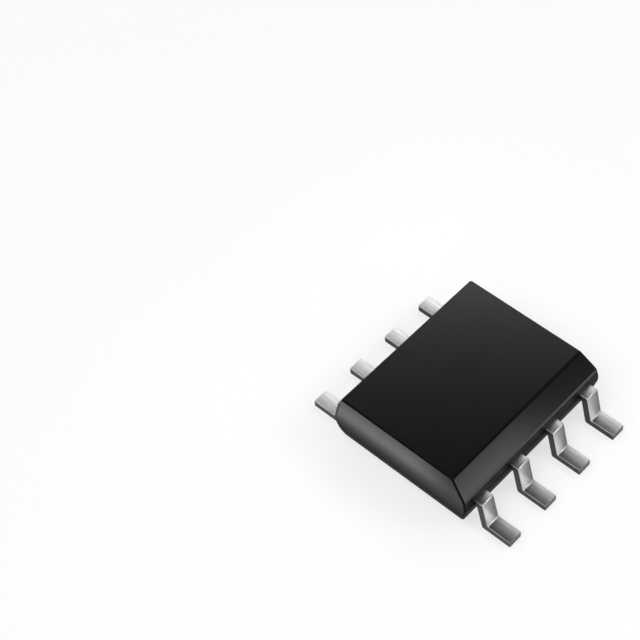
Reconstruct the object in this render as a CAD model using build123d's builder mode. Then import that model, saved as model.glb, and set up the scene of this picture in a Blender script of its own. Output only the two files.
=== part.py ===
"""Eight-lead surface-mount power management chip, in millimetres.

Z is up from the board and z = 0 is the plane that the lead feet stand on. X runs across the
two rows of leads and Y along them. Lead 1 stands at +X -Y, below the bevelled long edge, and
the numbers run anticlockwise seen from above: 1 to 4 up the +X side, 5 to 8 down the -X side.
"""

import os
from math import atan2, cos, degrees, hypot, radians, tan

from build123d import *

# Rows of leads
lead_pitch = 1.27
leads_per_side = 4
lead_span = 6.00  # foot tip to foot tip
lead_width = 0.40
frame_thickness = 0.19  # copper strip that the leads and the die pad are stamped from
lead_top = 0.90  # board to the flat shoulder
shoulder_length = 0.195  # body wall to the outside of the upper bend
shank_lean = 13.0  # degrees from upright
shoulder_radius = 0.035  # outside of the upper bend, a crisp fold
heel_radius = 0.06  # outside of the lower bend
crease_radius = 0.035  # inside of both bends

# Moulded body
body_width = 3.97  # across the parting ridge, before it is softened
body_end_margin = 0.61  # centre line of an end lead to the ridge at the end, before it is softened
body_thickness = 1.40
standoff = 0.16  # board to the underside
side_draft_top = 11.0  # degrees from upright; the mould's top half, at the sides with leads
side_draft_bottom = 15.0
end_draft_top = 14.5
end_draft_bottom = 17.0
side_parting_radius = 0.60  # soft ridge where the two halves of the mould meet
end_parting_radius = 1.60
bevel_leg = 0.358  # how far the 45 degree bevel reaches into the top
edge_chamfer = 0.035  # every edge of the body is softened by this much
ejector_diameter = 0.80  # shallow round marks that the mould's ejector pins leave underneath
ejector_depth = 0.025
ejector_spacing = 2.60

# Stamped frame inside the body
neck_length = 0.14  # full-width lead behind the body wall
land_depth = 0.55  # body wall to the inner end of a middle lead
land_width = 0.80
land_corner_radius = 0.08
lock_notch_length = 0.12  # notches in both edges, which the compound fills to anchor the lead
lock_notch_depth = 0.07
lock_notch_setback = 0.20  # body wall to the near side of the notches
finger_reach = 1.30  # body wall to the tip of an end lead
frame_gap = 0.20  # stamped gap between the leads and the die pad
pad_downset = 0.20  # die pad below the leads
pad_corner_radius = 0.10
tie_bar_width = 0.30
tie_bar_flat = 0.06  # level stretch between the die pad and the tie bar's slope
tie_bar_cover = 0.18  # sharp ridge at the end of the body to the end of each tie bar

# Die and the adhesive under it
die_width = 1.50
die_length = 2.00
die_thickness = 0.28
glue_thickness = 0.03
glue_border = 0.05  # adhesive squeezed out round the die

# Bond wires
wire_diameter = 0.05
ball_diameter = 0.13
ball_height = 0.04
loop_rise = 0.22  # die surface to the top of the wire's centre line
bond_inset = 0.12  # die edge to the centre of each ball
middle_bond_spacing = 0.90  # between the balls of the two middle leads of a row
end_bond_spacing = 0.90  # across the die, between the balls of the end leads
stitch_length = 0.20
stitch_width = 0.10
stitch_tail = 0.012  # thickness left at the far end of the stitch
stitch_setback = 0.16  # inner end of the lead to the centre of the stitch

# Positions worked out from the sizes above
wall_x = body_width / 2
row_length = (leads_per_side - 1) * lead_pitch
body_length = row_length + 2 * body_end_margin
wall_y = body_length / 2
lead_bottom = lead_top - frame_thickness
parting_z = (lead_top + lead_bottom) / 2
body_top = standoff + body_thickness
pad_top = lead_top - pad_downset
pad_bottom = pad_top - frame_thickness
pad_width = 2 * (wall_x - land_depth - frame_gap)
pad_length = row_length - lead_width - 2 * frame_gap
die_bottom = pad_top + glue_thickness
die_top = die_bottom + die_thickness
wire_radius = wire_diameter / 2


def lead_row_y(place):
    """Y of a lead's centre line; place counts from 0 along its row on the +X side."""
    return (place - (leads_per_side - 1) / 2) * lead_pitch


def is_end_lead(place):
    return place in (0, leads_per_side - 1)


def inner_end_x(place):
    """X at which a lead of the +X row ends inside the body."""
    reach = finger_reach if is_end_lead(place) else land_depth
    return wall_x - reach


def build_lead(place):
    """One lead of the +X row: foot, shank, shoulder and the flat part inside the body."""
    y = lead_row_y(place)
    lean = tan(radians(shank_lean))
    strip_run = frame_thickness / cos(radians(shank_lean))
    tip_x = lead_span / 2
    shoulder_x = wall_x + shoulder_length
    crease_x = shoulder_x + lead_bottom * lean
    heel_x = crease_x + frame_thickness * lean - strip_run
    armpit_x = heel_x - lead_bottom * lean
    inner_x = inner_end_x(place)
    neck_x = wall_x - neck_length
    notch_x = wall_x - lock_notch_setback - lock_notch_length / 2
    inner_width = lead_width if is_end_lead(place) else land_width
    with BuildPart() as lead:
        with BuildSketch(Plane.XZ.offset(-y)):
            with BuildLine():
                Polyline(
                    (neck_x, lead_top),
                    (shoulder_x, lead_top),
                    (crease_x, frame_thickness),
                    (tip_x, frame_thickness),
                    (tip_x, 0),
                    (heel_x, 0),
                    (armpit_x, lead_bottom),
                    (neck_x, lead_bottom),
                    close=True,
                )
            make_face()
        extrude(amount=lead_width / 2, both=True)
        bends = (
            (shoulder_x, lead_top, shoulder_radius),
            (crease_x, frame_thickness, crease_radius),
            (heel_x, 0, heel_radius),
            (armpit_x, lead_bottom, crease_radius),
        )
        across = lead.edges().filter_by(Axis.Y)
        for x, z, radius in bends:
            corner = Vector(x, y, z)
            bend = across.sort_by(lambda edge: (edge.center() - corner).length)[0]
            fillet(bend, radius=radius)
        with BuildSketch(Plane.XY.offset(lead_bottom)) as flat_part:
            with Locations(((inner_x + neck_x) / 2, y)):
                Rectangle(neck_x - inner_x, inner_width)
            fillet(flat_part.vertices().group_by(Axis.X)[0], radius=land_corner_radius)
            with Locations((notch_x, y - inner_width / 2), (notch_x, y + inner_width / 2)):
                Rectangle(lock_notch_length, 2 * lock_notch_depth, mode=Mode.SUBTRACT)
        extrude(amount=frame_thickness)
    return lead.part


def build_die_paddle():
    """Die pad with a tie bar at each end that steps up to the level of the leads."""
    pad_end = pad_length / 2
    bar_tip = wall_y - tie_bar_cover
    slope_start = pad_end + tie_bar_flat
    slope_end = slope_start + pad_downset
    with BuildPart() as die_paddle:
        with BuildSketch(Plane.XY.offset(pad_bottom)):
            RectangleRounded(pad_width, pad_length, pad_corner_radius)
        extrude(amount=frame_thickness)
        with BuildSketch(Plane.YZ):
            with BuildLine():
                Polyline(
                    (0, pad_top),
                    (slope_start, pad_top),
                    (slope_end, lead_top),
                    (bar_tip, lead_top),
                    (bar_tip, lead_bottom),
                    (slope_end, lead_bottom),
                    (slope_start, pad_bottom),
                    (0, pad_bottom),
                    close=True,
                )
            make_face()
        extrude(amount=tie_bar_width / 2, both=True)
        mirror(about=Plane.XZ)
    return die_paddle.part


def build_die_attach():
    """Layer of adhesive between the die and its pad, a little wider than the die."""
    with BuildPart() as die_attach:
        with BuildSketch(Plane.XY.offset(pad_top)):
            Rectangle(die_width + 2 * glue_border, die_length + 2 * glue_border)
        extrude(amount=glue_thickness)
    return die_attach.part


def build_silicon_die():
    with BuildPart() as silicon_die:
        with BuildSketch(Plane.XY.offset(die_bottom)):
            Rectangle(die_width, die_length)
        extrude(amount=die_thickness)
    return silicon_die.part


def bond_ends(place):
    """Centres of the ball on the die and of the stitch on the lead, seen from above."""
    y = lead_row_y(place)
    side = 1 if y > 0 else -1
    stitch_x = inner_end_x(place) + stitch_setback
    if is_end_lead(place):
        return (end_bond_spacing / 2, side * (die_length / 2 - bond_inset)), (stitch_x, y)
    return (die_width / 2 - bond_inset, side * middle_bond_spacing / 2), (stitch_x, y)


def build_bond_wire(place):
    """One wire of the +X row: ball on the die, raised neck, and a wedge pressed on the lead."""
    ball, stitch = bond_ends(place)
    run = hypot(stitch[0] - ball[0], stitch[1] - ball[1])
    heading = degrees(atan2(stitch[1] - ball[1], stitch[0] - ball[0]))
    loop_top = die_top + loop_rise
    loop_plane = Plane(
        origin=(ball[0], ball[1], 0),
        x_dir=Vector(1, 0, 0).rotate(Axis.Z, heading),
        z_dir=Vector(0, -1, 0).rotate(Axis.Z, heading),
    )
    wire_end = run - stitch_length / 2 + wire_diameter
    with BuildPart() as bond_wire:
        with BuildSketch(Plane.XY.offset(die_top)):
            with Locations(ball):
                Circle(ball_diameter / 2)
        extrude(amount=ball_height)
        with BuildLine(loop_plane) as loop:
            Polyline(
                (0, die_top + ball_height / 2),
                (0, loop_top),
                (wire_end, lead_top + wire_diameter),
            )
        with BuildSketch(Plane.XY.offset(die_top + ball_height / 2)):
            with Locations(ball):
                Circle(wire_radius)
        sweep(path=loop.line, transition=Transition.RIGHT)
        with BuildSketch(loop_plane):
            with BuildLine():
                Polyline(
                    (run - stitch_length / 2, lead_top),
                    (run + stitch_length / 2, lead_top),
                    (run + stitch_length / 2, lead_top + stitch_tail),
                    (run, lead_top + wire_diameter),
                    (run - stitch_length / 2, lead_top + 2 * wire_diameter),
                    close=True,
                )
            make_face()
        extrude(amount=stitch_width / 2, both=True)
    return bond_wire.part


def upper_inset(draft):
    """How far the top edge stands in from the parting ridge."""
    return (body_top - parting_z) * tan(radians(draft))


def lower_inset(draft):
    """How far the bottom edge stands in from the parting ridge."""
    return (parting_z - standoff) * tan(radians(draft))


def build_outer_form():
    """Body as it leaves the mould: a long form with the bevel, cut to length by the end walls."""
    top_x = wall_x - upper_inset(side_draft_top)
    bottom_x = wall_x - lower_inset(side_draft_bottom)
    top_y = wall_y - upper_inset(end_draft_top)
    bottom_y = wall_y - lower_inset(end_draft_bottom)
    bevel_x = top_x - bevel_leg
    bevel_drop = bevel_leg / (1 - tan(radians(side_draft_top)))
    bevel_z = body_top - bevel_drop

    def is_on_ridge(vertex):
        return abs(vertex.Y - parting_z) < 0.001

    def is_sharp(edge):
        middle = edge.center()
        level = abs(edge.position_at(0).Z - edge.position_at(1).Z) < 0.001
        return not level or any(abs(middle.Z - z) < 0.001 for z in (standoff, bevel_z, body_top))

    with BuildPart() as outer_form:
        with BuildSketch(Plane.XZ) as across:
            with BuildLine():
                Polyline(
                    (-top_x, body_top),
                    (bevel_x, body_top),
                    (bevel_x + bevel_drop, bevel_z),
                    (wall_x, parting_z),
                    (bottom_x, standoff),
                    (-bottom_x, standoff),
                    (-wall_x, parting_z),
                    close=True,
                )
            make_face()
            fillet(across.vertices().filter_by(is_on_ridge), radius=side_parting_radius)
        extrude(amount=body_length, both=True)
        with BuildSketch(Plane.YZ) as along:
            with BuildLine():
                Polyline(
                    (-top_y, body_top),
                    (top_y, body_top),
                    (wall_y, parting_z),
                    (bottom_y, standoff),
                    (-bottom_y, standoff),
                    (-wall_y, parting_z),
                    close=True,
                )
            make_face()
            fillet(along.vertices().filter_by(is_on_ridge), radius=end_parting_radius)
        extrude(amount=body_width, both=True, mode=Mode.INTERSECT)
        chamfer(outer_form.edges().filter_by(is_sharp), length=edge_chamfer)
        with BuildSketch(Plane.XY.offset(standoff)):
            with GridLocations(0, ejector_spacing, 1, 2):
                Circle(ejector_diameter / 2)
        extrude(amount=ejector_depth, mode=Mode.SUBTRACT)
    return outer_form.part


def save(part, label):
    part.label = label
    export_step(part, f"parts/{label}.step")


os.makedirs("parts", exist_ok=True)

# The row on the -X side is the +X row turned half a turn, so lead 5 stands across from lead 4
inner_pieces = {
    "die_paddle": build_die_paddle(),
    "die_attach": build_die_attach(),
    "silicon_die": build_silicon_die(),
}
for place in range(leads_per_side):
    lead = build_lead(place)
    wire = build_bond_wire(place)
    near = place + 1
    far = near + leads_per_side
    inner_pieces[f"lead_{near}"] = lead
    inner_pieces[f"lead_{far}"] = lead.rotate(Axis.Z, 180)
    inner_pieces[f"bond_wire_{near}"] = wire
    inner_pieces[f"bond_wire_{far}"] = wire.rotate(Axis.Z, 180)

with BuildPart() as moulded_body:
    add(build_outer_form())
    for piece in inner_pieces.values():
        add(piece, mode=Mode.SUBTRACT)

save(moulded_body.part, "moulded_body")
for label, piece in inner_pieces.items():
    save(piece, label)
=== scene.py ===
"""Power management chip on a pale surface, seen from above its bevelled corner.

Metres, in the part's own frame: Z up from the board, X across the rows of leads, Y along them.
Sizes are written in millimetres and turned into metres where they are used.
"""

from math import cos, pi, radians, sin

import bpy
from mathutils import Matrix, Vector


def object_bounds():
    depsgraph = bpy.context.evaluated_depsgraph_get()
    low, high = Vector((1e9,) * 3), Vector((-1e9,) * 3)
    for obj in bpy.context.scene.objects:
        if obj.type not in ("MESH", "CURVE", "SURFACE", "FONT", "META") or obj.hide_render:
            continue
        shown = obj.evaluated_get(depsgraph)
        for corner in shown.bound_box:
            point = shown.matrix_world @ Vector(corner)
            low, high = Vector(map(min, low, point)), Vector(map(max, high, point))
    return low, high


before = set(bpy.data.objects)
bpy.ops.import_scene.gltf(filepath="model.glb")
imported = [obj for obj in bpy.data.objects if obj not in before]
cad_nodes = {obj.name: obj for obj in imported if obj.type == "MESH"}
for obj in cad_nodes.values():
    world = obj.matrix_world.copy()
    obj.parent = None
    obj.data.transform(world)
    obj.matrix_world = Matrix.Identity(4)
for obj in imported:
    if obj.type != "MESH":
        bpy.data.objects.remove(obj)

cad_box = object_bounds()

MM = 0.001

# Sockets of the colour Mix node, which has several of the same name
MIX_A = 6
MIX_B = 7
MIX_COLOUR = 2

# Nearly all values of a noise texture lie between these
NOISE_LOW = 0.3
NOISE_HIGH = 0.7

# Sizes and places on the part, in millimetres
FOOT_TIP = cad_box[1][0] / MM  # how far the feet reach from the middle of the part
BODY_TOP = cad_box[1][2] / MM
BEVEL_FOOT = 1.2  # height of the bevel's lower edge
LEAD_PITCH = 1.27
HALF_LEAD = 0.2  # half the width of a lead
STRIP_CROWN = 2.3  # radius of the slight doming that stamping leaves across each lead


# Colours and nodes


def hex_colour(code):
    """Linear RGBA of an sRGB hex colour."""
    channels = [int(code[i:i + 2], 16) / 255 for i in (0, 2, 4)]
    linear = [c / 12.92 if c <= 0.04045 else ((c + 0.055) / 1.055) ** 2.4 for c in channels]
    return (*linear, 1.0)


def add_node(tree, kind, inputs=None, **settings):
    """A node with its settings, and with each input set to a value or linked to a socket."""
    node = tree.nodes.new(kind)
    for name, value in settings.items():
        setattr(node, name, value)
    for name, value in (inputs or {}).items():
        if isinstance(value, bpy.types.NodeSocket):
            tree.links.new(value, node.inputs[name])
        else:
            node.inputs[name].default_value = value
    return node


def start_material(name):
    """An empty material and its surface coordinates in millimetres."""
    material = bpy.data.materials.new(name)
    material.use_nodes = True
    tree = material.node_tree
    tree.nodes.clear()
    place = add_node(tree, "ShaderNodeTexCoord").outputs["Object"]
    millimetres = add_node(
        tree, "ShaderNodeVectorMath", {0: place, "Scale": 1 / MM}, operation="SCALE"
    )
    return material, tree, millimetres.outputs["Vector"]


def streaked_noise(tree, place, size, detail):
    """Noise drawn out into streaks; size is how long one is along X, Y and Z, in millimetres."""
    stretched = add_node(
        tree, "ShaderNodeMapping", {"Vector": place, "Scale": [1 / length for length in size]}
    )
    noise = add_node(
        tree,
        "ShaderNodeTexNoise",
        {"Vector": stretched.outputs["Vector"], "Scale": 1.0, "Detail": detail},
    )
    return noise.outputs["Fac"]


def surface_facing(tree):
    """How squarely the surface faces along X and along Y, either way, and upwards: 1 is straight."""
    normal = add_node(tree, "ShaderNodeNewGeometry").outputs["Normal"]
    parts = add_node(tree, "ShaderNodeSeparateXYZ", {"Vector": normal})
    facing_x = add_node(tree, "ShaderNodeMath", {0: parts.outputs["X"]}, operation="ABSOLUTE")
    facing_y = add_node(tree, "ShaderNodeMath", {0: parts.outputs["Y"]}, operation="ABSOLUTE")
    return facing_x.outputs["Value"], facing_y.outputs["Value"], parts.outputs["Z"]


def set_stops(ramp, stops):
    """Give a ramp its grey levels, each at its place from 0 to 1."""
    points = ramp.color_ramp.elements
    while len(points) < len(stops):
        points.new(1.0)
    for point, (place, level) in zip(points, stops):
        point.position = place
        point.color = (level, level, level, 1)


# Body: epoxy mould compound


def compound_colour(tree, place):
    """Black resin, a little uneven, with faint paler specks of silica filler."""
    spacing = 0.09  # between specks, which are at most 0.045 mm across
    patch = 1.1
    broad = add_node(tree, "ShaderNodeTexNoise", {"Vector": place, "Scale": 1 / patch, "Detail": 3.0})
    filler = add_node(tree, "ShaderNodeTexVoronoi", {"Vector": place, "Scale": 1 / spacing})
    filler_share = add_node(
        tree,
        "ShaderNodeMapRange",
        {
            "Value": filler.outputs["Distance"],
            "From Min": 0.08,
            "From Max": 0.25,
            "To Min": 0.5,
            "To Max": 0.0,
        },
    )
    resin = add_node(
        tree,
        "ShaderNodeMix",
        {"Factor": broad.outputs["Fac"], MIX_A: hex_colour("050505"), MIX_B: hex_colour("080809")},
        data_type="RGBA",
    )
    compound = add_node(
        tree,
        "ShaderNodeMix",
        {
            "Factor": filler_share.outputs["Result"],
            MIX_A: resin.outputs[MIX_COLOUR],
            MIX_B: hex_colour("171718"),
        },
        data_type="RGBA",
    )
    return compound.outputs[MIX_COLOUR]


def compound_roughness(tree, fine, facing_up):
    """Satin from the mould's grain. The top and the bevel are smoother than the walls."""
    satin = add_node(
        tree,
        "ShaderNodeMapRange",
        {
            "Value": fine,
            "From Min": NOISE_LOW,
            "From Max": NOISE_HIGH,
            "To Min": 0.36,
            "To Max": 0.42,
        },
    )
    polish = add_node(
        tree,
        "ShaderNodeMapRange",
        {"Value": facing_up, "From Min": 0.05, "From Max": 0.5, "To Min": 1.0, "To Max": 0.44},
    )
    roughness = add_node(
        tree,
        "ShaderNodeMath",
        {0: satin.outputs["Result"], 1: polish.outputs["Result"]},
        operation="MULTIPLY",
    )
    return roughness.outputs["Value"]


def end_wall_polish(tree, where, facing_y, facing_up):
    """Share of the harder shine, as from a polished mould, on the upper half of both end walls. In
    the photograph it fades towards +X."""
    fade_start = 0.4
    fade_end = 1.5
    upper_walls = add_node(tree, "ShaderNodeValToRGB", {"Fac": facing_up})
    set_stops(upper_walls, ((0.0, 0.0), (0.2, 1.0), (0.35, 1.0), (0.45, 0.0)))
    ends = add_node(
        tree, "ShaderNodeMapRange", {"Value": facing_y, "From Min": 0.8, "From Max": 0.95}
    )
    fading = add_node(
        tree,
        "ShaderNodeMapRange",
        {
            "Value": where.outputs["X"],
            "From Min": fade_start,
            "From Max": fade_end,
            "To Min": 1.0,
            "To Max": 0.0,
        },
    )
    share = upper_walls.outputs["Color"]
    for mask in (ends, fading):
        share = add_node(
            tree, "ShaderNodeMath", {0: share, 1: mask.outputs["Result"]}, operation="MULTIPLY"
        ).outputs["Value"]
    return share


def bevel_gloss(tree, where, facing_up):
    """Gloss that falls with height over the bevel to a dull hairline round the edge of the top, and
    is full on the flat top itself."""
    climb = add_node(
        tree,
        "ShaderNodeMapRange",
        {"Value": where.outputs["Z"], "From Min": BEVEL_FOOT, "From Max": BODY_TOP},
    )
    slope = add_node(tree, "ShaderNodeValToRGB", {"Fac": climb.outputs["Result"]})
    set_stops(slope, ((0.0, 1.0), (0.895, 0.59), (0.925, 0.0)))
    flat_top = add_node(
        tree, "ShaderNodeMapRange", {"Value": facing_up, "From Min": 0.96, "From Max": 0.995}
    )
    gloss = add_node(
        tree,
        "ShaderNodeMath",
        {0: slope.outputs["Color"], 1: flat_top.outputs["Result"]},
        operation="MAXIMUM",
    )
    return gloss.outputs["Value"]


def mould_gloss(tree, where, facing_x, facing_y, facing_up):
    """Share of satin surface. The lower half, the edges round both end walls and the walls that the
    leads come out of are dull, and bevel_gloss gives the rest."""
    upper_half = add_node(
        tree, "ShaderNodeMapRange", {"Value": facing_up, "From Min": -0.15, "From Max": 0.28}
    )
    other_way = add_node(tree, "ShaderNodeMath", {0: facing_x, 1: facing_up}, operation="MAXIMUM")
    slanting = add_node(
        tree, "ShaderNodeMath", {0: other_way.outputs["Value"], 1: facing_y}, operation="MINIMUM"
    )
    off_edges = add_node(
        tree,
        "ShaderNodeMapRange",
        {
            "Value": slanting.outputs["Value"],
            "From Min": 0.3,
            "From Max": 0.5,
            "To Min": 1.0,
            "To Max": 0.0,
        },
    )
    off_lead_walls = add_node(
        tree,
        "ShaderNodeMapRange",
        {"Value": facing_x, "From Min": 0.91, "From Max": 0.97, "To Min": 1.0, "To Max": 0.2},
    )
    gloss = bevel_gloss(tree, where, facing_up)
    for mask in (upper_half, off_edges, off_lead_walls):
        gloss = add_node(
            tree, "ShaderNodeMath", {0: gloss, 1: mask.outputs["Result"]}, operation="MULTIPLY"
        ).outputs["Value"]
    return gloss


def epoxy_mould_compound():
    """Silica-filled black epoxy from a spark-eroded mould: soft satin black with a very fine even
    grain. Parts of it shine more and parts hardly at all, as in the photograph."""
    material, tree, place = start_material("epoxy mould compound")
    grain = 0.05  # the real grain is about 0.02 mm; this is as fine as shows
    fine = add_node(tree, "ShaderNodeTexNoise", {"Vector": place, "Scale": 1 / grain, "Detail": 2.0})
    where = add_node(tree, "ShaderNodeSeparateXYZ", {"Vector": place})
    facing_x, facing_y, facing_up = surface_facing(tree)
    colour = compound_colour(tree, place)
    relief = add_node(
        tree,
        "ShaderNodeBump",
        {"Strength": 0.08, "Distance": 0.004 * MM, "Height": fine.outputs["Fac"]},
    )
    satin_epoxy = add_node(
        tree,
        "ShaderNodeBsdfPrincipled",
        {
            "Base Color": colour,
            "Roughness": compound_roughness(tree, fine.outputs["Fac"], facing_up),
            "IOR": 1.6,
            "Normal": relief.outputs["Normal"],
            "Coat Weight": end_wall_polish(tree, where, facing_y, facing_up),
            "Coat Roughness": 0.22,
            "Coat IOR": 1.86,
        },
    )
    dull_epoxy = add_node(
        tree,
        "ShaderNodeBsdfPrincipled",
        {
            "Base Color": colour,
            "Roughness": 0.6,
            "IOR": 1.5,
            "Specular IOR Level": 0.05,
            "Normal": relief.outputs["Normal"],
        },
    )
    gloss = mould_gloss(tree, where, facing_x, facing_y, facing_up)
    shader = add_node(
        tree,
        "ShaderNodeMixShader",
        {0: gloss, 1: dull_epoxy.outputs["BSDF"], 2: satin_epoxy.outputs["BSDF"]},
    )
    add_node(tree, "ShaderNodeOutputMaterial", {"Surface": shader.outputs[0]})
    return material


# Leads: tin-plated copper


def across_lead(tree, where):
    """Distance in millimetres from the centre line of the nearest lead, positive towards +Y."""
    pitches = add_node(
        tree, "ShaderNodeMath", {0: where.outputs["Y"], 1: LEAD_PITCH}, operation="DIVIDE"
    )
    share = add_node(tree, "ShaderNodeMath", {0: pitches.outputs["Value"]}, operation="FRACT")
    off_centre = add_node(
        tree, "ShaderNodeMath", {0: share.outputs["Value"], 1: 0.5}, operation="SUBTRACT"
    )
    across = add_node(
        tree, "ShaderNodeMath", {0: off_centre.outputs["Value"], 1: LEAD_PITCH}, operation="MULTIPLY"
    )
    return across.outputs["Value"]


def tin_colour(tree, place):
    """Grey tin in faint streaks, lighter and darker."""
    streak_width = 0.06
    streak_length = 0.5
    streaks = streaked_noise(tree, place, (streak_length, streak_width, streak_length), 4.0)
    share = add_node(
        tree,
        "ShaderNodeMapRange",
        {"Value": streaks, "From Min": NOISE_LOW, "From Max": NOISE_HIGH},
    )
    tin = add_node(
        tree,
        "ShaderNodeMix",
        {"Factor": share.outputs["Result"], MIX_A: hex_colour("b0b0b2"), MIX_B: hex_colour("c8c9c9")},
        data_type="RGBA",
    )
    return tin.outputs[MIX_COLOUR]


def tin_roughness(tree, place):
    """Soft reflections, a little sharper and softer by turns along fine rolling lines."""
    line_width = 0.02  # real lines are finer; this is as fine as shows
    line_length = 0.5
    lines = streaked_noise(tree, place, (line_length, line_width, line_length), 2.0)
    roughness = add_node(
        tree,
        "ShaderNodeMapRange",
        {
            "Value": lines,
            "From Min": NOISE_LOW,
            "From Max": NOISE_HIGH,
            "To Min": 0.29,
            "To Max": 0.32,
        },
    )
    return roughness.outputs["Result"]


def strip_relief(tree, place, across):
    """Slight doming across the lead, with the fine crystals of matt tin on it."""
    crystal = 0.03  # real crystals are about 0.005 mm; this is as fine as shows
    squared = add_node(tree, "ShaderNodeMath", {0: across, 1: across}, operation="MULTIPLY")
    fall = add_node(
        tree, "ShaderNodeMath", {0: squared.outputs["Value"], 1: -0.5 / STRIP_CROWN}, operation="MULTIPLY"
    )
    crown = add_node(
        tree, "ShaderNodeBump", {"Strength": 1.0, "Distance": MM, "Height": fall.outputs["Value"]}
    )
    crystals = add_node(tree, "ShaderNodeTexNoise", {"Vector": place, "Scale": 1 / crystal, "Detail": 1.0})
    relief = add_node(
        tree,
        "ShaderNodeBump",
        {
            "Strength": 0.05,
            "Distance": 0.002 * MM,
            "Height": crystals.outputs["Fac"],
            "Normal": crown.outputs["Normal"],
        },
    )
    return relief.outputs["Normal"]


def shaded_cut_faces(tree, where, facing_y):
    """Mask of painted shade on the faces that the stamping tool cut: the sides of the strip and the tip of
    the foot.
    """
    sides = add_node(
        tree, "ShaderNodeMapRange", {"Value": facing_y, "From Min": 0.8, "From Max": 0.95}
    )
    reach = add_node(tree, "ShaderNodeMath", {0: where.outputs["X"]}, operation="ABSOLUTE")
    tips = add_node(
        tree,
        "ShaderNodeMapRange",
        {"Value": reach.outputs["Value"], "From Min": FOOT_TIP - 0.015, "From Max": FOOT_TIP - 0.002},
    )
    shaded_cut = add_node(
        tree,
        "ShaderNodeMath",
        {0: sides.outputs["Result"], 1: tips.outputs["Result"]},
        operation="MAXIMUM",
    )
    return shaded_cut.outputs["Value"]


def shank_painted_shade(tree, across, facing_x):
    """Painted shade down the shanks: almost none at the -Y edge of each and strong at the +Y edge."""
    shanks = add_node(
        tree, "ShaderNodeMapRange", {"Value": facing_x, "From Min": 0.85, "From Max": 0.95}
    )
    shade_across_shank = add_node(
        tree,
        "ShaderNodeMapRange",
        {"Value": across, "From Min": -HALF_LEAD, "From Max": HALF_LEAD, "To Min": 0.08, "To Max": 0.85},
    )
    shaded_shanks = add_node(
        tree,
        "ShaderNodeMath",
        {0: shanks.outputs["Result"], 1: shade_across_shank.outputs["Result"]},
        operation="MULTIPLY",
    )
    return shaded_shanks.outputs["Value"]


def flats_painted_shade(tree, where, across, facing_up):
    """Painted shade on the -Y side of the shoulders and feet in the +X row. It is wider on the shoulders
    than on the feet, and stronger towards the -Y end of the row."""
    foot_height = 0.3
    shoulder_height = 0.8
    row_end = 1.9
    flats = add_node(
        tree, "ShaderNodeMapRange", {"Value": facing_up, "From Min": 0.85, "From Max": 0.95}
    )
    this_row = add_node(
        tree, "ShaderNodeMapRange", {"Value": where.outputs["X"], "From Min": -0.1, "From Max": 0.1}
    )
    edge = add_node(
        tree,
        "ShaderNodeMapRange",
        {
            "Value": where.outputs["Z"],
            "From Min": foot_height,
            "From Max": shoulder_height,
            "To Min": -0.03,
            "To Max": 0.15,
        },
    )
    strength = add_node(
        tree,
        "ShaderNodeMapRange",
        {
            "Value": where.outputs["Y"],
            "From Min": -row_end,
            "From Max": row_end,
            "To Min": 0.58,
            "To Max": 0.15,
        },
    )
    shade_across_flat = add_node(
        tree,
        "ShaderNodeMapRange",
        {
            "Value": across,
            "From Min": -HALF_LEAD,
            "From Max": edge.outputs["Result"],
            "To Min": strength.outputs["Result"],
            "To Max": 0.0,
        },
    )
    share = shade_across_flat.outputs["Result"]
    for mask in (flats, this_row):
        share = add_node(
            tree, "ShaderNodeMath", {0: share, 1: mask.outputs["Result"]}, operation="MULTIPLY"
        ).outputs["Value"]
    return share


def tin_plated_copper():
    """Matt tin over rolled copper strip: grey metal with soft reflections and faint rolling lines, with
    painted shade that darkens its cut faces, one side of each shank and the -Y side of the shoulders and
    feet in the +X row."""
    material, tree, place = start_material("tin-plated copper")
    where = add_node(tree, "ShaderNodeSeparateXYZ", {"Vector": place})
    across = across_lead(tree, where)
    facing_x, facing_y, facing_up = surface_facing(tree)
    dark = shaded_cut_faces(tree, where, facing_y)
    for share in (
        shank_painted_shade(tree, across, facing_x),
        flats_painted_shade(tree, where, across, facing_up),
    ):
        dark = add_node(
            tree, "ShaderNodeMath", {0: dark, 1: share}, operation="MAXIMUM"
        ).outputs["Value"]
    # The tin is darkened towards this grey by the painted shade on the cut faces, shanks and flats
    metal = add_node(
        tree,
        "ShaderNodeMix",
        {"Factor": dark, MIX_A: tin_colour(tree, place), MIX_B: hex_colour("2e2e2f")},
        data_type="RGBA",
    )
    shader = add_node(
        tree,
        "ShaderNodeBsdfPrincipled",
        {
            "Base Color": metal.outputs[MIX_COLOUR],
            "Metallic": 1.0,
            "Roughness": tin_roughness(tree, place),
            "Normal": strip_relief(tree, place, across),
        },
    )
    add_node(tree, "ShaderNodeOutputMaterial", {"Surface": shader.outputs[0]})
    return material


# Pieces inside the body


def stamped_copper():
    """Bare copper strip: warm metal with fine rolling lines, darker where it has oxidised."""
    material, tree, place = start_material("stamped copper strip")
    line_width = 0.02
    line_length = 0.8
    patch = 0.5
    lines = streaked_noise(tree, place, (line_width, line_length, line_length), 2.0)
    oxide = add_node(tree, "ShaderNodeTexNoise", {"Vector": place, "Scale": 1 / patch, "Detail": 3.0})
    tone = add_node(
        tree,
        "ShaderNodeMix",
        {"Factor": oxide.outputs["Fac"], MIX_A: hex_colour("b8714a"), MIX_B: hex_colour("d9946c")},
        data_type="RGBA",
    )
    relief = add_node(
        tree,
        "ShaderNodeBump",
        {"Strength": 0.2, "Distance": 0.002 * MM, "Height": lines},
    )
    shader = add_node(
        tree,
        "ShaderNodeBsdfPrincipled",
        {
            "Base Color": tone.outputs[MIX_COLOUR],
            "Metallic": 1.0,
            "Roughness": 0.32,
            "Normal": relief.outputs["Normal"],
        },
    )
    add_node(tree, "ShaderNodeOutputMaterial", {"Surface": shader.outputs[0]})
    return material


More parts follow.
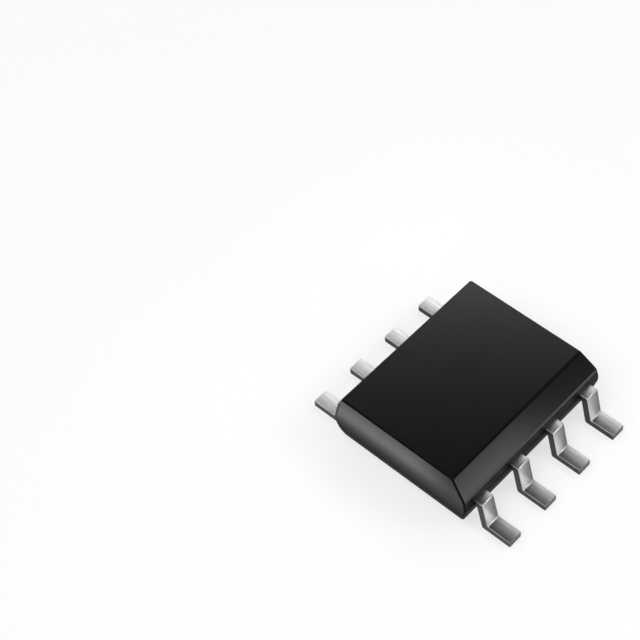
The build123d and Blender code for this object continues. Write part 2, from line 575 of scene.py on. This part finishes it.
def drawn_copper_wire():
    """Bare copper drawn through a die: bright, warm and smooth, a little uneven in tone."""
    material, tree, place = start_material("drawn copper wire")
    patch = 0.012
    uneven = add_node(tree, "ShaderNodeTexNoise", {"Vector": place, "Scale": 1 / patch, "Detail": 1.0})
    tone = add_node(
        tree,
        "ShaderNodeMix",
        {"Factor": uneven.outputs["Fac"], MIX_A: hex_colour("c98358"), MIX_B: hex_colour("e3a07a")},
        data_type="RGBA",
    )
    shader = add_node(
        tree,
        "ShaderNodeBsdfPrincipled",
        {"Base Color": tone.outputs[MIX_COLOUR], "Metallic": 1.0, "Roughness": 0.25},
    )
    add_node(tree, "ShaderNodeOutputMaterial", {"Surface": shader.outputs[0]})
    return material


def silver_filled_epoxy():
    """Cured die adhesive: dull grey paste full of silver flakes."""
    material, tree, place = start_material("silver-filled epoxy")
    flake = 0.02  # real flakes are about 0.01 mm
    flakes = add_node(tree, "ShaderNodeTexVoronoi", {"Vector": place, "Scale": 1 / flake})
    tone = add_node(
        tree,
        "ShaderNodeMix",
        {"Factor": flakes.outputs["Distance"], MIX_A: hex_colour("c9c9c6"), MIX_B: hex_colour("77777a")},
        data_type="RGBA",
    )
    relief = add_node(
        tree,
        "ShaderNodeBump",
        {"Strength": 0.3, "Distance": 0.004 * MM, "Height": flakes.outputs["Distance"]},
    )
    shader = add_node(
        tree,
        "ShaderNodeBsdfPrincipled",
        {
            "Base Color": tone.outputs[MIX_COLOUR],
            "Metallic": 0.6,
            "Roughness": 0.55,
            "Normal": relief.outputs["Normal"],
        },
    )
    add_node(tree, "ShaderNodeOutputMaterial", {"Surface": shader.outputs[0]})
    return material


def polished_silicon():
    """Silicon die: dark grey mirror with the blocks of its circuit in slightly different tones."""
    material, tree, place = start_material("polished silicon")
    block = 0.16
    street = 0.006  # gap between blocks
    cell = 0.03
    blocks = add_node(
        tree,
        "ShaderNodeTexBrick",
        {
            "Vector": place,
            "Scale": 1.0,
            "Brick Width": 2 * block,
            "Row Height": block,
            "Mortar Size": street,
            "Color1": hex_colour("4a5560"),
            "Color2": hex_colour("6a6a70"),
            "Mortar": hex_colour("2c3036"),
        },
    )
    cells = add_node(tree, "ShaderNodeTexChecker", {"Vector": place, "Scale": 1 / cell})
    circuit = add_node(
        tree,
        "ShaderNodeMix",
        {"Factor": 0.15, MIX_A: blocks.outputs["Color"], MIX_B: cells.outputs["Color"]},
        data_type="RGBA",
    )
    shader = add_node(
        tree,
        "ShaderNodeBsdfPrincipled",
        {"Base Color": circuit.outputs[MIX_COLOUR], "Metallic": 0.7, "Roughness": 0.12},
    )
    add_node(tree, "ShaderNodeOutputMaterial", {"Surface": shader.outputs[0]})
    return material


# What each piece is made of


def paint(names, material):
    """Give the named pieces one material."""
    for name in names:
        for slot in cad_nodes[name].material_slots:
            slot.material = material


PINS = range(1, 9)
lead_names = [f"lead_{pin}" for pin in PINS]
wire_names = [f"bond_wire_{pin}" for pin in PINS]

paint(["moulded_body"], epoxy_mould_compound())
paint(lead_names, tin_plated_copper())
paint(["die_paddle"], stamped_copper())
paint(["die_attach"], silver_filled_epoxy())
paint(["silicon_die"], polished_silicon())
paint(wire_names, drawn_copper_wire())


# Stamped edges of the leads, softened by the plating

EDGE_SOFTENING = 0.015 * MM
SAME_POINT = 0.0001 * MM  # corners of facets that are this close are one corner
SAME_FACE = radians(1)  # facets that meet flatter than this are one face
SHARP_EDGE = radians(50)  # edges that bend more than this are softened


def soften_edges(lead):
    """Join a lead's facets into whole faces, then round the sharp edges between them."""
    weld = lead.modifiers.new("join facets", "WELD")
    weld.merge_threshold = SAME_POINT
    flatten = lead.modifiers.new("whole faces", "DECIMATE")
    flatten.decimate_type = "DISSOLVE"
    flatten.angle_limit = SAME_FACE
    bevel = lead.modifiers.new("soft edges", "BEVEL")
    bevel.width = EDGE_SOFTENING
    bevel.segments = 2
    bevel.limit_method = "ANGLE"
    bevel.angle_limit = SHARP_EDGE
    bevel.harden_normals = True


for name in lead_names:
    soften_edges(cad_nodes[name])


# Floor, world and lamps

FLOOR_REACH = 1.0  # metres
WHITE_SHARE = 0.65  # how far the card is lifted to white for the camera and in reflections

# Brightness of the studio dome at each height, 0 level and 1 straight up: a bright horizon, a dim
# band, a bright ring about 45 degrees up, and a dark crown. The top of the body mirrors the border
# between ring and crown, which makes its far end paler than its near corner.
DOME = ((0.0, 3.5), (0.1, 3.0), (0.18, 0.1), (0.62, 0.1), (0.68, 2.6), (0.74, 4.2), (0.768, 0.0))


def white_card():
    """Matt white card with faint fibres. It is lifted part of the way to white where it is seen
    straight or in a reflection, and lights the part as plain card."""
    material, tree, place = start_material("matt white card")
    fibre = 0.15
    fibres = add_node(tree, "ShaderNodeTexNoise", {"Vector": place, "Scale": 1 / fibre, "Detail": 2.0})
    tone = add_node(
        tree,
        "ShaderNodeMix",
        {"Factor": fibres.outputs["Fac"], MIX_A: hex_colour("f7f7f7"), MIX_B: hex_colour("fbfbfb")},
        data_type="RGBA",
    )
    card = add_node(tree, "ShaderNodeBsdfDiffuse", {"Color": tone.outputs[MIX_COLOUR]})
    white = add_node(tree, "ShaderNodeEmission", {"Color": hex_colour("ffffff"), "Strength": 1.0})
    ray = add_node(tree, "ShaderNodeLightPath")
    camera_or_glossy = add_node(
        tree,
        "ShaderNodeMath",
        {0: ray.outputs["Is Camera Ray"], 1: ray.outputs["Is Glossy Ray"]},
        operation="ADD",
    )
    seen = add_node(
        tree,
        "ShaderNodeMath",
        {0: camera_or_glossy.outputs["Value"], 1: ray.outputs["Is Transmission Ray"]},
        operation="ADD",
        use_clamp=True,
    )
    background = add_node(
        tree, "ShaderNodeMath", {0: seen.outputs["Value"], 1: WHITE_SHARE}, operation="MULTIPLY"
    )
    shader = add_node(
        tree,
        "ShaderNodeMixShader",
        {0: background.outputs["Value"], 1: card.outputs["BSDF"], 2: white.outputs["Emission"]},
    )
    add_node(tree, "ShaderNodeOutputMaterial", {"Surface": shader.outputs[0]})
    return material


def add_floor():
    mesh = bpy.data.meshes.new("floor")
    reach = FLOOR_REACH
    corners = [(-reach, -reach, 0), (reach, -reach, 0), (reach, reach, 0), (-reach, reach, 0)]
    mesh.from_pydata(corners, [], [(0, 1, 2, 3)])
    mesh.materials.append(white_card())
    floor = bpy.data.objects.new("floor", mesh)
    bpy.context.collection.objects.link(floor)


def add_world():
    """Studio dome, with its brightness by height from DOME."""
    world = bpy.data.worlds.new("studio")
    world.use_nodes = True
    tree = world.node_tree
    tree.nodes.clear()
    direction = add_node(tree, "ShaderNodeTexCoord").outputs["Generated"]
    parts = add_node(tree, "ShaderNodeSeparateXYZ", {"Vector": direction})
    ramp = add_node(tree, "ShaderNodeValToRGB", {"Fac": parts.outputs["Z"]})
    set_stops(ramp, DOME)
    dome = add_node(tree, "ShaderNodeBackground", {"Color": ramp.outputs["Color"], "Strength": 1.0})
    add_node(tree, "ShaderNodeOutputWorld", {"Surface": dome.outputs["Background"]})
    bpy.context.scene.world = world


def add_softbox(name, place, aim, width, height, brightness):
    """Rectangular lamp that lights the part and mirrors in it, but doesn't show itself; place, aim
    and size in millimetres, brightness as seen from the front."""
    data = bpy.data.lights.new(name, "AREA")
    data.shape = "RECTANGLE"
    data.size = width * MM
    data.size_y = height * MM
    data.energy = brightness * pi * data.size * data.size_y
    lamp = bpy.data.objects.new(name, data)
    place = Vector(place) * MM
    lamp.location = place
    lamp.rotation_euler = (Vector(aim) * MM - place).to_track_quat("-Z", "Y").to_euler()
    lamp.visible_camera = False
    bpy.context.collection.objects.link(lamp)


add_floor()
add_world()

# Broad light on the floor, the leads and the end wall
add_softbox("overhead", place=(-6, -50, 108), aim=(0, 0, 0), width=70, height=84, brightness=2.7)

# Sheen on the shanks of the +X row and on the wall behind them
add_softbox("back", place=(63, 42, 65), aim=(0, 0, 0), width=26, height=26, brightness=8)

# Shine along the bevel, strongest at its -Y end
add_softbox("right", place=(24.7, 3.5, 12.7), aim=(0, 0, 1), width=18, height=10, brightness=1.55)

# Small lamp close above the feet of the -X row, for their upper faces
add_softbox("far leads", place=(-4.7, 0.5, 3.4), aim=(-3.9, 0.5, 0), width=11, height=1.6, brightness=0.46)


# Camera, solved from the straight edges of the photograph

PICTURE = 640  # pixels each way
AZIMUTH = 47.18  # degrees round from the -Y end towards the +X side
ELEVATION = 51.86  # degrees above the floor
ROLL = -5.47  # degrees
DISTANCE = 39.55 * MM
AIM = Vector((0, 0, 0.8 * MM))
AIM_PIXEL = (467.37, 398.12)  # where the aim point falls in the picture
PIXELS_PER_METRE = 42718  # at the aim point
SENSOR = 36.0  # millimetres


def camera_axes():
    """Right, up and back of the camera."""
    azimuth = radians(AZIMUTH)
    elevation = radians(ELEVATION)
    roll = radians(ROLL)
    back = Vector((sin(azimuth) * cos(elevation), -cos(azimuth) * cos(elevation), sin(elevation)))
    level = Vector((cos(azimuth), sin(azimuth), 0))
    upright = back.cross(level)
    return cos(roll) * level + sin(roll) * upright, cos(roll) * upright - sin(roll) * level, back


def add_camera():
    right, up, back = camera_axes()
    offset_right = (AIM_PIXEL[0] - PICTURE / 2) / PIXELS_PER_METRE
    offset_up = (PICTURE / 2 - AIM_PIXEL[1]) / PIXELS_PER_METRE
    data = bpy.data.cameras.new("photo camera")
    data.sensor_width = SENSOR
    data.lens = PIXELS_PER_METRE * DISTANCE / PICTURE * SENSOR
    data.clip_start = 1 * MM
    data.clip_end = 10  # metres
    camera = bpy.data.objects.new("photo camera", data)
    place = AIM + back * DISTANCE - right * offset_right - up * offset_up
    axes = Matrix((right, up, back)).transposed()
    camera.matrix_world = Matrix.Translation(place) @ axes.to_4x4()
    bpy.context.collection.objects.link(camera)
    bpy.context.scene.camera = camera


add_camera()
bpy.context.scene.view_settings.view_transform = "Standard"
